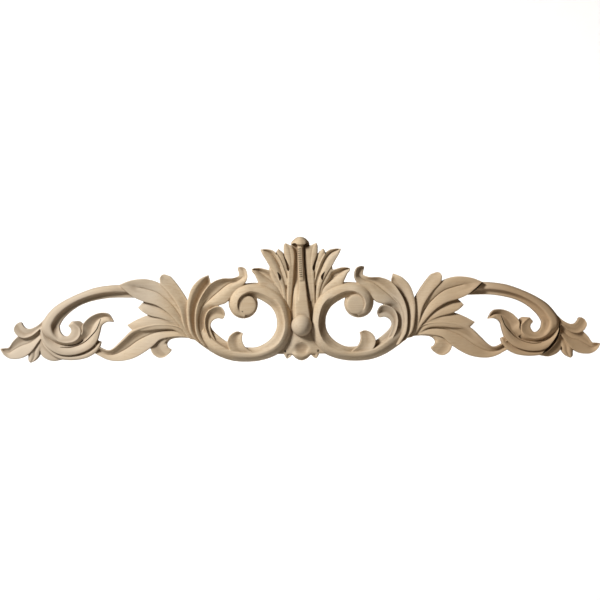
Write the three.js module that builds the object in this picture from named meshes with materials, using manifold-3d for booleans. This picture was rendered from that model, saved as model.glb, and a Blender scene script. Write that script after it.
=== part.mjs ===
// Carved wood onlay: paired C-scrolls and acanthus leaves about a husk and boss, pierced, with a flat back.
// Millimetres, +Z up. The back lies on the plane y = 0, the carving faces -Y, and the origin is on the back
// behind the boss. Half of the pattern is drawn and mirrored across x = 0.
import * as THREE from "three";
import { mergeVertices } from "three/addons/utils/BufferGeometryUtils.js";
import Module from "manifold-3d";

const onlayLength = 600;
const reliefDepth = 22;
const patternLength = 600;
const patternDepth = 22;
const curveTolerance = 0.55;
const leastSwell = 0.5;
const sunkBack = 2;
const ballRadius = 10.2;
const voluteRadius = 14.4;
const woodColour = 0xcdb08c;
const woodRoughness = 0.72;

const planScale = onlayLength / patternLength;
const depthScale = reliefDepth / patternDepth;

const wasm = await Module();
wasm.setup();

function solidFrom(geometry) {
  const bare = geometry.index ? geometry.clone() : geometry;
  bare.deleteAttribute("normal");
  bare.deleteAttribute("uv");
  const welded = mergeVertices(bare, 1e-4);
  const corners = [];
  const index = welded.index.array;
  for (let i = 0; i < index.length; i += 3) {
    const [a, b, c] = [index[i], index[i + 1], index[i + 2]];
    if (a !== b && b !== c && c !== a) {
      corners.push(a, b, c);
    }
  }
  const mesh = new wasm.Mesh({
    numProp: 3,
    vertProperties: new Float32Array(welded.attributes.position.array),
    triVerts: new Uint32Array(corners),
  });
  return new wasm.Manifold(mesh);
}

function geometryFrom(points, faces) {
  const flat = points.flatMap((p) => [p.x, p.y, p.z]);
  let volume = 0;
  for (const [a, b, c] of faces) {
    volume += points[a].dot(new THREE.Vector3().crossVectors(points[b], points[c]));
  }
  const turned = volume < 0 ? faces.map(([a, b, c]) => [a, c, b]) : faces;
  const geometry = new THREE.BufferGeometry();
  geometry.setAttribute("position", new THREE.Float32BufferAttribute(flat, 3));
  geometry.setIndex(turned.flat());
  return geometry;
}

// A section is a row of [share of the width, height, swell]; the swell lifts the middle of the stretch before.
function sampled(section) {
  const row = [[section[0][0], section[0][1]]];
  for (let i = 1; i < section.length; i += 1) {
    const [share, height, swell] = section[i];
    if (Math.abs(swell ?? 0) >= leastSwell) {
      const last = section[i - 1];
      row.push([(last[0] + share) / 2, (last[1] + height) / 2 + swell]);
    }
    row.push([share, height]);
  }
  return row;
}

function blended(first, last, amount) {
  return first.map((spot, i) => [
    THREE.MathUtils.lerp(spot[0], last[i][0], amount),
    THREE.MathUtils.lerp(spot[1], last[i][1], amount),
  ]);
}

// Stations stand at the ribs, and between two ribs wherever an edge bows away from its chord.
function stationsAlong(firstRail, secondRail, spans) {
  const stations = [0];
  for (let i = 0; i < spans; i += 1) {
    const bow = Math.max(...[firstRail, secondRail].map((rail) => {
      const from = rail.getPoint(i / spans);
      const to = rail.getPoint((i + 1) / spans);
      return rail.getPoint((i + 0.5) / spans).distanceTo(from.add(to).divideScalar(2));
    }));
    const pieces = Math.max(1, Math.ceil(Math.sqrt(bow / curveTolerance)));
    for (let j = 1; j <= pieces; j += 1) {
      stations.push(i + j / pieces);
    }
  }
  return stations;
}

// A leaf or band runs over ribs [first edge x, z, second edge x, z, lift]. A closing rib [x, z, lift] is its tip.
function carve(section, ribs, turn) {
  const tipped = ribs[ribs.length - 1].length === 3;
  const full = ribs.map((rib) => (rib.length === 3 ? [rib[0], rib[1], rib[0], rib[1], rib[2]] : rib));
  const firstRail = new THREE.CatmullRomCurve3(full.map((r) => new THREE.Vector3(r[0], r[4], r[1])));
  const secondRail = new THREE.CatmullRomCurve3(full.map((r) => new THREE.Vector3(r[2], r[4], r[3])));
  firstRail.curveType = "catmullrom";
  secondRail.curveType = "catmullrom";
  const near = sampled(section);
  const far = turn ? sampled(turn.section) : near;
  const stations = stationsAlong(firstRail, secondRail, full.length - 1);
  const rows = stations.length - 1;
  const columns = near.length;
  const points = [];
  const faces = [];
  for (const station of stations) {
    const t = station / (full.length - 1);
    const a = firstRail.getPoint(t);
    const b = secondRail.getPoint(t);
    const change = turn ? THREE.MathUtils.smoothstep(station, turn.from, turn.to) : 0;
    const row = blended(near, far, change);
    const mean = row.reduce((sum, spot) => sum + spot[1], 0) / columns;
    const closing = tipped ? THREE.MathUtils.smoothstep(station, full.length - 2, full.length - 1) : 0;
    for (const [share, height] of row) {
      const rise = THREE.MathUtils.lerp(height, mean, closing) * a.y * depthScale;
      const x = THREE.MathUtils.lerp(a.x, b.x, share) * planScale;
      const z = THREE.MathUtils.lerp(a.z, b.z, share) * planScale;
      points.push(new THREE.Vector3(x, -rise, z));
    }
    points.push(new THREE.Vector3(a.x * planScale, sunkBack, a.z * planScale));
    points.push(new THREE.Vector3(b.x * planScale, sunkBack, b.z * planScale));
  }
  const wide = columns + 2;
  const quad = (p, q, r, s) => faces.push([p, q, r], [p, r, s]);
  for (let i = 0; i < rows; i += 1) {
    const here = i * wide;
    const next = here + wide;
    for (let j = 0; j < columns - 1; j += 1) {
      quad(here + j, here + j + 1, next + j + 1, next + j);
    }
    quad(here + columns - 1, here + columns + 1, next + columns + 1, next + columns - 1);
    quad(here + columns + 1, here + columns, next + columns, next + columns + 1);
    quad(here + columns, here, next, next + columns);
  }
  const ends = tipped ? [[0, false]] : [[0, false], [rows * wide, true]];
  for (const [start, flipped] of ends) {
    const fan = [];
    for (let j = 0; j < columns - 1; j += 1) {
      fan.push([start + columns, start + j + 1, start + j]);
    }
    fan.push([start + columns, start + columns + 1, start + columns - 1]);
    fan.forEach(([p, q, r]) => faces.push(flipped ? [p, r, q] : [p, q, r]));
  }
  return geometryFrom(points, faces);
}

// A turned form stands on the back about the axis through (x, z), its profile rows being [radius, height].
function turned(x, z, profile, segments, stretch = 1) {
  const outline = [[0, -sunkBack], [profile[profile.length - 1][0], -sunkBack], ...[...profile].reverse()];
  const spots = outline.map(([r, h]) => new THREE.Vector2(r, h * depthScale));
  const geometry = new THREE.LatheGeometry(spots, segments);
  geometry.scale(planScale, -1, stretch * planScale);
  geometry.translate(x * planScale, 0, z * planScale);
  const index = geometry.index.array;
  const points = [];
  const place = geometry.attributes.position;
  for (let i = 0; i < place.count; i += 1) {
    points.push(new THREE.Vector3().fromBufferAttribute(place, i));
  }
  const faces = [];
  for (let i = 0; i < index.length; i += 3) {
    faces.push([index[i], index[i + 1], index[i + 2]]);
  }
  return geometryFrom(points, faces);
}

function mirrored(geometry) {
  const points = [];
  const place = geometry.attributes.position;
  for (let i = 0; i < place.count; i += 1) {
    points.push(new THREE.Vector3(-place.getX(i), place.getY(i), place.getZ(i)));
  }
  const index = geometry.index.array;
  const faces = [];
  for (let i = 0; i < index.length; i += 3) {
    faces.push([index[i], index[i + 1], index[i + 2]]);
  }
  return geometryFrom(points, faces);
}

// Sections that several forms share: a roll with a cove inside it, a leaf folded along a valley, a shallow dish.
const rollAndCove = [[0, 6.5], [0.2, 14, 1.2], [0.5, 16, 0.5], [0.66, 10.5], [1, 8]];
const stemRoll = [[0, 7.5], [0.08, 10.8], [0.2, 12.6], [0.48, 13], [0.62, 9], [1, 7.5]];
const curlRoll = [[0, 8], [0.1, 8.6], [0.25, 10.2], [0.5, 12.5], [0.68, 12.3], [1, 10.5]];
const foldedLeaf = (high, valley, low, swell) => [[0, high], [0.45, valley, -0.6], [1, low, swell]];
const dishedLeaf = (inner, hollow, edge) => [[0, inner], [0.42, hollow, -0.4], [1, edge, -0.4]];

// The C-scroll from under the leaves, round the bottom and the top, into the volute.
const cScroll = carve(rollAndCove, [
  [106, -14.5, 92, 4, 0.72],
  [97, -21.5, 88.5, -4, 0.85],
  [84.3, -29.6, 80, -12, 1],
  [70, -34.9, 68, -19.5, 1],
  [55, -36.5, 54, -21.8, 1],
  [39.7, -34.9, 44, -21.4, 1],
  [24.7, -29.5, 35, -17, 1],
  [14.7, -20.3, 28.5, -10.8, 1],
  [9.7, -7, 24.7, -2.5, 1],
  [9.6, 6, 24.8, 8, 1],
  [14, 23.5, 29, 17, 1],
  [25, 35.2, 36, 23, 1],
  [39, 41.8, 44, 27.2, 1],
  [53, 42.4, 49.5, 28.5, 1.03],
  [64, 38.5, 54, 26.5, 1.06],
  [71.2, 29.5, 57, 24.5, 1.07],
  [72, 19, 58.6, 20.6, 1.02],
  [66.5, 10.4, 58.3, 16.5, 0.9],
  [57, 6.8, 54.6, 14.1, 0.8],
]);
const volute = turned(57.5, 21.2, [[0, 14.6], [8.5, 14.2], [12.2, 12.6], [voluteRadius, 9]], 24);

// Curls that end inside the C-scroll.
const lowCurl = carve(dishedLeaf(11, 10, 12.5), [
  [46, -29, 66, -30, 0.9],
  [55.5, -22, 72, -23, 1],
  [58.8, -16.5, 74, -16, 1],
  [59.2, -11.5, 71, -9.4, 1],
  [58.6, -8.8, 64.5, -5.8, 1],
  [58.3, -7.6, 1],
]);
const sideCurl = carve(dishedLeaf(11, 9.8, 11), [
  [91, -14, 84, -17.5, 0.9],
  [95, -4.5, 89.8, -6, 1],
  [96.3, 5, 90.3, 1.5, 1],
  [93.5, 14, 88, 5.3, 1],
  [87, 18.6, 83.5, 7.4, 1],
  [80.5, 19, 80, 7, 1],
  [77, 15, 77.8, 7.2, 1],
  [76, 11, 1],
]);

// The leaf that sweeps over the volute to a hook, and the blades that fan out beside it.
const hookLeaf = carve([[0, 13.5], [0.47, 10.5, 0.6], [1, 14.5, -0.8]], [
  [88, -23, 98, -19.5, 0.75],
  [94, -7, 104.5, -8, 0.95],
  [96.3, 5, 106, 6, 1],
  [91, 17, 104.3, 19, 1],
  [82, 20.3, 98.5, 31.5, 1],
  [74, 23.5, 90, 42.3, 1],
  [66, 34, 79, 47, 1],
  [57, 41, 69, 47.3, 1.03],
  [53.4, 48, 62.3, 49.6, 1.08],
  [54.8, 55.8, 62.2, 53.5, 1.1],
  [59, 58.4, 63, 55.8, 1.1],
  [63, 58, 1.05],
]);
const leanBlade = carve(dishedLeaf(9.6, 9.2, 13), [
  [96, -19, 104, -16, 0.7],
  [101.5, -8, 111, -6.5, 0.9],
  [104, 6, 113.7, 9, 1],
  [102, 18, 113.4, 23.5, 1],
  [96, 30.5, 109, 37.8, 1],
  [90.6, 42, 101, 46.7, 1],
  [92.3, 50.8, 0.95],
]);
const tallBlade = carve(dishedLeaf(11.2, 8.5, 13.2), [
  [103, -14.5, 111, -13, 0.6],
  [109.5, 2, 117, -1, 0.8],
  [112.4, 21.5, 121.5, 17, 1],
  [121, 35, 130, 31, 1],
  [130.8, 47.2, 139.3, 41.3, 1],
  [135.5, 50.3, 140.5, 46, 1],
  [138.8, 50.6, 0.98],
]);
const broadLobe = carve(foldedLeaf(12.2, 10.3, 14, 1), [
  [106, -12.5, 113, -12, 0.55],
  [113.5, 7, 122, 1.5, 0.75],
  [123.5, 26, 133, 13.5, 0.95],
  [138.5, 41.2, 144.5, 21, 1],
  [151, 46.6, 157, 24.8, 1],
  [162, 47.1, 167, 29.4, 1.05],
  [172, 45.2, 174, 35.2, 1.1],
  [181, 41.4, 1.15],
]);
const midLobe = carve([[0, 8.8], [0.55, 9.8], [1, 12]], [
  [111, -9, 117, -10, 0.55],
  [119, 9, 125, 0.5, 0.75],
  [132, 20, 137, 7, 0.95],
  [147, 26.5, 150.5, 10.6, 1],
  [156.5, 24.6, 157.5, 14.3, 1],
  [162.6, 18.7, 1],
]);
const lowLobe = carve([[0, 8.3], [0.5, 11, 0.5], [1, 10.5]], [
  [112, -10, 116, -11.5, 0.55],
  [123, 5, 127, -4, 0.8],
  [136, 12.5, 140, -3, 0.95],
  [151, 11.6, 154, -4.2, 1],
  [163, 7.3, 166.5, -4.2, 1],
  [173.6, 1.5, 0.95],
]);
const longLeaf = carve(foldedLeaf(12.8, 8.3, 9.3, 1.5), [
  [108, -9, 110, -12, 0.55],
  [124, 0.5, 124, -10.5, 0.8],
  [142, 2.5, 140, -13, 0.95],
  [157, 0.5, 148, -19.5, 1],
  [168.7, -3.6, 157.5, -26.3, 1],
  [178.2, -12.3, 169, -32.1, 1],
  [186.2, -20.1, 182, -34.3, 0.9],
  [192.5, -23.2, 193, -32.9, 0.85],
  [200, -20.6, 203.5, -27.7, 0.8],
  [207, -15, 212, -22, 0.75],
]);
const underCurl = carve([[0, 10], [0.5, 8.3, -0.7], [1, 8.8]], [
  [107, -9, 108, -12.4, 0.6],
  [122, -7.5, 121, -11.7, 0.8],
  [134.5, -8.5, 129.5, -12.9, 0.95],
  [144.5, -12.5, 133.6, -17, 1],
  [150.5, -18.5, 133.8, -20.4, 1],
  [149.8, -25, 131.8, -23, 1],
  [144, -30.6, 129.8, -25, 1],
  [132.8, -29.6, 0.95],
]);

// The outer scroll: its stem comes out from under the broad lobe and turns in to a flat curl.
const outerScroll = carve(stemRoll, [
  [158, 40, 156, 28.4, 0.72],
  [174, 41.5, 173, 28.8, 0.8],
  [190, 41.2, 189, 28.8, 0.95],
  [206, 38.7, 203.5, 26.8, 1],
  [222, 33, 217, 22.9, 1],
  [236, 26.3, 228, 16.6, 1],
  [247.5, 18.4, 236.5, 8.6, 1],
  [256, 8, 240.5, 2, 1],
  [258.5, 0, 240.7, -0.5, 1],
  [255.5, -9, 239.8, -4.5, 1],
  [248, -16.3, 237.5, -7.7, 1],
  [238, -19.8, 234.8, -9, 1],
  [227, -19.9, 232, -8.6, 1],
  [218.5, -16.8, 230, -6.3, 1],
  [213.5, -10, 229, -4, 1],
  [213, -2, 229.4, -1.5, 1],
  [217.5, 3, 231, 0.5, 1],
  [221.5, 6, 231.7, 1.5, 1],
  [228.5, 5.7, 1],
], { section: curlRoll, from: 8, to: 11 });
const sLeafLow = carve([[0, 8], [0.5, 11, 0.6], [1, 12]], [
  [257.5, 2, 259.6, -2, 0.8],
  [253.5, -8.5, 257, -13.2, 0.95],
  [246.5, -15, 250.5, -21.7, 1],
  [237.8, -18.2, 239.5, -27.3, 1],
  [227.5, -18.4, 226, -27.5, 1],
  [219.3, -15.6, 213, -23.2, 1],
  [213, -8.2, 204.3, -15.6, 1],
  [209, 0.8, 200.7, -6, 1],
  [204.5, 6.8, 198.8, 1, 1],
  [199.5, 10, 194.5, 4.4, 1.02],
  [193.4, 10.6, 190.5, 5, 1.05],
  [186.8, 4.7, 1.05],
]);
const sLeafHigh = carve([[0, 13.5], [1, 7.8, -1.4]], [
  [220, -11, 214, -15.5, 0.8],
  [217.8, -4, 208.5, -9, 1],
  [217.6, 2, 205, -1.5, 1],
  [212.2, 8.5, 201, 3, 1],
  [205.5, 12.5, 197, 6.3, 1.02],
  [198.5, 14.2, 193.4, 7.8, 1.05],
  [191.3, 12.5, 189.5, 6.8, 1.07],
  [186.7, 5.2, 1.07],
]);
const scrollLobe = carve([[0, 8.5], [1, 10, 0.9]], [
  [257.8, -2, 260, -5, 0.8],
  [254.5, -12.5, 258, -15, 0.9],
  [248, -19.5, 253.2, -22.7, 1],
  [238.8, -24.5, 243.5, -30.3, 1],
  [228, -25, 231, -32.9, 1],
  [217.5, -22, 216.3, -31.5, 1],
  [209.5, -17, 205.8, -26.2, 1],
  [204.5, -13.5, 200.8, -20, 1],
  [199.3, -14.8, 1],
]);
const footLobe = carve([[0, 5.5], [0.5, 7.5], [1, 6.5]], [
  [255.5, 3, 261.2, 1.5, 0.8],
  [252.5, -10, 261.2, -12, 1],
  [247.5, -20, 260.4, -24.5, 1],
  [240.5, -27, 256.2, -30.4, 1],
  [236, -30.5, 247.5, -33.7, 1],
  [237.8, -32.3, 0.9],
]);

// The leaf at the end of the onlay.
const endCurl = carve([[0, 8.5], [0.5, 8, -0.3], [1, 10.5, -0.2]], [
  [253, 11.5, 255, 3, 0.8],
  [260.5, 3.5, 262.5, -4, 1],
  [268, -0.8, 269, -8.8, 1],
  [273.5, -1, 276, -10.6, 1],
  [276.6, 1.8, 281.7, -8.6, 1],
  [278, 4.6, 285.2, -4.5, 1],
  [280.2, 5.3, 285.9, -1, 1],
  [283.8, 3.4, 1],
]);
const endLeaf = carve(foldedLeaf(9.8, 6.8, 9, 0.8), [
  [253, 7, 256, -7, 0.75],
  [260.5, -0.5, 262, -15, 0.9],
  [269.7, -6, 269, -24.3, 1],
  [280, -7.6, 277, -29.8, 1],
  [286.7, -13.2, 284.5, -31.3, 1],
  [291.2, -19.6, 291, -30.4, 1],
  [295.5, -20.3, 296.2, -26.7, 1.05],
  [300, -20.9, 1.1],
]);
const endLobe = carve([[0, 7], [0.45, 5.2], [1, 7.5]], [
  [257, -14, 266, -14, 0.8],
  [259.6, -23, 271.6, -22, 1],
  [260.8, -28.3, 272.1, -29.5, 1],
  [264.6, -32.7, 271.8, -33.3, 1],
  [269.7, -35.2, 1],
]);

// The fan of leaves beside the husk.
const fanTall = carve([[0, 11], [0.5, 9], [1, 12.5]], [
  [10.6, 14, 14, 18, 0.7],
  [9.3, 30, 15, 31, 0.85],
  [7.2, 46, 14.5, 47, 0.95],
  [6.4, 60, 14, 62, 1],
  [6.2, 72, 15.6, 72, 1],
  [9, 79.8, 16, 78.5, 1.03],
  [15.1, 81.8, 1.03],
]);
const fanSmall = carve([[0, 8.3], [1, 11]], [
  [11, 40, 18, 40, 0.85],
  [11.5, 58, 21, 56, 0.95],
  [14.5, 70, 23.7, 68.5, 1],
  [18.5, 73.6, 24.6, 72.2, 1],
  [22, 76.4, 1],
]);
const fanBroad = carve(foldedLeaf(12.2, 9.6, 12, 0.8), [
  [11, 26, 16, 25.5, 0.7],
  [12, 42, 20, 40, 0.85],
  [15.8, 56, 26, 52, 0.95],
  [22, 69.5, 31.2, 60, 1],
  [27.5, 74.2, 34.2, 64, 1.02],
  [34, 76, 37.8, 70.3, 1.05],
  [40, 75.5, 1.05],
]);
const fanInset = carve([[0, 8.5], [1, 10.5]], [
  [15, 42, 23, 36, 0.8],
  [20, 53, 29, 45, 0.95],
  [26, 59, 31.6, 53, 1],
  [31.2, 60, 1],
]);
const fanLow = carve(foldedLeaf(11.8, 8.8, 11, 0.8), [
  [13, 27, 19, 25, 0.65],
  [18.5, 41.5, 28, 34, 0.85],
  [27, 52.5, 40, 39, 0.95],
  [35, 55.9, 43.8, 45.6, 1],
  [41, 57.3, 46.2, 50.8, 1.04],
  [45.5, 57, 48.5, 53.4, 1.05],
  [49, 55.6, 1.05],
]);

// Below the boss: the skirt beside the scoop and the small leaf under it.
const skirt = carve([[0, 11.5], [0.3, 10.5], [1, 8.5]], [
  [7, -6, 11, -7, 1],
  [8.5, -14, 14.5, -17, 1],
  [9.8, -22, 19.5, -25, 1],
  [9.8, -28.4, 23.5, -28.7, 0.9],
]);
const footLeaf = carve([[0, 8], [0.5, 7], [1, 9]], [
  [9, -24, 15, -24, 1],
  [9.6, -29.5, 17, -28.8, 1],
  [12, -32.2, 16.6, -31, 1],
  [14.5, -33.4, 0.95],
]);

// On the centre line: husk, its sunk ground, cap, boss, and the scoop with its lip.
const across = (half, z, lift) => [-half, z, half, z, lift];
const ground = carve([[0, 6], [1, 6]], [
  across(9, 79, 1),
  across(9, 45, 1),
  across(11.5, 25, 1),
  across(12, 6, 1),
  across(12, -10, 1),
]);
const husk = carve([[0, 10], [0.2, 14.5, 0.4], [0.5, 16.5, 0.3], [0.8, 14.5, 0.3], [1, 10, 0.4]], [
  across(3.8, 80, 0.82),
  across(3.8, 64, 0.85),
  across(4.6, 47, 0.92),
  across(7, 30, 1),
  across(8.7, 14, 1.05),
  across(8.7, 4, 1.05),
]);
const cap = carve([[0, 9], [0.25, 15, 1], [0.5, 18, 0.5], [0.75, 15, 0.5], [1, 9, 1]], [
  across(9.2, 78.3, 1),
  across(9.6, 81, 1),
  across(8.3, 84.6, 0.92),
  across(5, 87.2, 0.75),
  [0, 88.2, 0.55],
]);
const ballProfile = [];
for (let i = 0; i <= 5; i += 1) {
  const angle = (i * Math.PI) / 10;
  ballProfile.push([ballRadius * Math.sin(angle), reliefDepth - ballRadius * (1 - Math.cos(angle))]);
}
const boss = turned(0, -0.4, ballProfile, 22, 1.05);
const scoop = carve([[0, 10.5], [0.25, 8], [0.5, 6.8], [0.75, 8], [1, 10.5]], [
  across(8, -6, 1.1),
  across(9, -16, 1.05),
  across(10.2, -22, 1),
  across(9.8, -29, 1),
]);
const lip = carve([[0, 7.5], [0.4, 11, 0.5], [1, 8, 0.4]], [
  [-9.9, -27.6, -9.5, -29.8, 0.9],
  [-5, -27.4, -5.5, -33.3, 1],
  [0, -27.4, 0, -35.1, 1],
  [5, -27.4, 5.5, -33.3, 1],
  [9.9, -27.6, 9.5, -29.8, 0.9],
]);

const pairedForms = [
  cScroll, volute, lowCurl, sideCurl,
  hookLeaf, leanBlade, tallBlade, broadLobe, midLobe, lowLobe, longLeaf, underCurl,
  outerScroll, sLeafLow, sLeafHigh, scrollLobe, footLobe,
  endCurl, endLeaf, endLobe,
  fanTall, fanSmall, fanBroad, fanInset, fanLow,
  skirt, footLeaf,
];
const centreForms = [ground, husk, cap, boss, scoop, lip];

let carving = null;
for (const form of [...centreForms, ...pairedForms, ...pairedForms.map(mirrored)]) {
  const solid = solidFrom(form);
  carving = carving ? carving.add(solid) : solid;
}

// The flat back is one cut through everything that stands behind it.
const behind = new THREE.BoxGeometry(onlayLength * 1.2, sunkBack * 2, onlayLength);
behind.translate(0, sunkBack, 0);
carving = carving.subtract(solidFrom(behind));

const shape = carving.getMesh();
const body = new THREE.BufferGeometry();
body.setAttribute("position", new THREE.Float32BufferAttribute(shape.vertProperties, 3));
body.setIndex(Array.from(shape.triVerts));
body.computeVertexNormals();

const wood = new THREE.MeshStandardMaterial({ color: woodColour, roughness: woodRoughness, metalness: 0 });
const onlay = new THREE.Mesh(body, wood);
onlay.name = "carved_onlay";

const group = new THREE.Group();
group.add(onlay);
export default group;
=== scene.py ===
import math
import bpy
import numpy as np
from mathutils import Matrix, Vector


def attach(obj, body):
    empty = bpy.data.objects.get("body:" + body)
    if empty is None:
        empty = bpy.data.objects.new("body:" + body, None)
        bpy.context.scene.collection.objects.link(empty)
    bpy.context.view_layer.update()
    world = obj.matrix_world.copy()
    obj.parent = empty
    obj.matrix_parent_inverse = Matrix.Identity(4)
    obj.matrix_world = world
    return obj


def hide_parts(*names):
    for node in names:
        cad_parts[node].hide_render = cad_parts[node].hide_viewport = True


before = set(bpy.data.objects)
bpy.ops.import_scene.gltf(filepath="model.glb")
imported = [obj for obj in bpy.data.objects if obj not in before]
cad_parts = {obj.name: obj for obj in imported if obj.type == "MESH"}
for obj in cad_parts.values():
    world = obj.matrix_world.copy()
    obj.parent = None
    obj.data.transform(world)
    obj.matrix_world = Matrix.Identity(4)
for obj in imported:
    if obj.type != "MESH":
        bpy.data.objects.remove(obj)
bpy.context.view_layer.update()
mm = 0.001

# how fine the carving is worked, in millimetres
carvingFineness = {
    "rowStep": 1.0,
    "columnStep": 0.8,
    "rim": 0.8,            # sanded rounding of every edge
    "widestRim": 0.3,      # share of the width that a rim may take
    "rimSteps": (0.0, 0.25, 0.55, 1.0),
    "veinSteps": (-1.0, -0.5, 0.0, 0.5, 1.0),
    "veinFade": 0.6,       # ribs over which a vein runs out
    "profileSteps": 401,
    "turnedSteps": 96,
    "cutSteps": 6,
    "thinnestCut": 0.1,
    "cutterFront": 30,     # cutters reach this far in front of the back
    "sunkBack": 2.0,       # how far forms run past the back before it is planed flat
    "grit": 0.37,          # size of the voxels that melt the forms together
    "sanding": 2,          # passes of smoothing after that
    "sandingForce": 0.5,
    "triangles": 188000,
    "sharpEdge": 50,       # degrees
}


def smoothStep(low, high, value):
    share = np.clip((value - low) / max(high - low, 1e-9), 0.0, 1.0)
    return share * share * (3 - 2 * share)


# heights of a section at given shares of the width: smooth between knots, sharp at knots marked with a 1
def sectionHeights(section, shares):
    heights = np.zeros_like(shares)
    breaks = [0]
    for index, knot in enumerate(section):
        if len(knot) == 3 and 0 < index < len(section) - 1:
            breaks.append(index)
    breaks.append(len(section) - 1)
    for start, end in zip(breaks[:-1], breaks[1:]):
        xs = np.array([k[0] for k in section[start:end + 1]], float)
        ys = np.array([k[1] for k in section[start:end + 1]], float)
        inside = (shares >= xs[0] - 1e-9) & (shares <= xs[-1] + 1e-9)
        heights[inside] = smoothStretch(xs, ys, shares[inside])
    return heights


# a monotone cubic through the knots, so that no hump appears between them
def smoothStretch(xs, ys, at):
    gaps = np.diff(xs)
    slopes = np.diff(ys) / gaps
    if len(xs) == 2:
        return ys[0] + slopes[0] * (at - xs[0])
    tangents = np.zeros(len(xs))
    for i in range(1, len(xs) - 1):
        if slopes[i - 1] * slopes[i] > 0:
            first = 2 * gaps[i] + gaps[i - 1]
            second = gaps[i] + 2 * gaps[i - 1]
            tangents[i] = (first + second) / (first / slopes[i - 1] + second / slopes[i])
    tangents[0] = 1.5 * slopes[0] - 0.5 * tangents[1]
    tangents[-1] = 1.5 * slopes[-1] - 0.5 * tangents[-2]
    spot = np.clip(np.searchsorted(xs, at, side="right") - 1, 0, len(gaps) - 1)
    gap = gaps[spot]
    t = (at - xs[spot]) / gap
    return (
        (2 * t**3 - 3 * t**2 + 1) * ys[spot]
        + (t**3 - 2 * t**2 + t) * gap * tangents[spot]
        + (-2 * t**3 + 3 * t**2) * ys[spot + 1]
        + (t**3 - t**2) * gap * tangents[spot + 1]
    )


# a flowing curve through the ribs' ends, at stations counted in ribs
def railPoints(points, stations):
    padded = np.vstack([2 * points[0] - points[1], points, 2 * points[-1] - points[-2]])
    last = len(points) - 2
    spot = np.clip(np.floor(stations).astype(int), 0, last)
    t = (stations - spot)[:, None]
    p0 = padded[spot]
    p1 = padded[spot + 1]
    p2 = padded[spot + 2]
    p3 = padded[spot + 3]
    return 0.5 * (
        2 * p1
        + (p2 - p0) * t
        + (2 * p0 - 5 * p1 + 4 * p2 - p3) * t**2
        + (3 * p1 - p0 - 3 * p2 + p3) * t**3
    )


# closed shells gathered as (points, faces), in millimetres
def outward(points, faces):
    corners = points[faces]
    volume = np.einsum("ij,ij->i", corners[:, 0], np.cross(corners[:, 1], corners[:, 2])).sum()
    return (points, faces if volume > 0 else faces[:, ::-1].copy())


def mirrored(shell):
    points, faces = shell
    return (points * np.array([-1.0, 1.0, 1.0]), faces[:, ::-1].copy())


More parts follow.
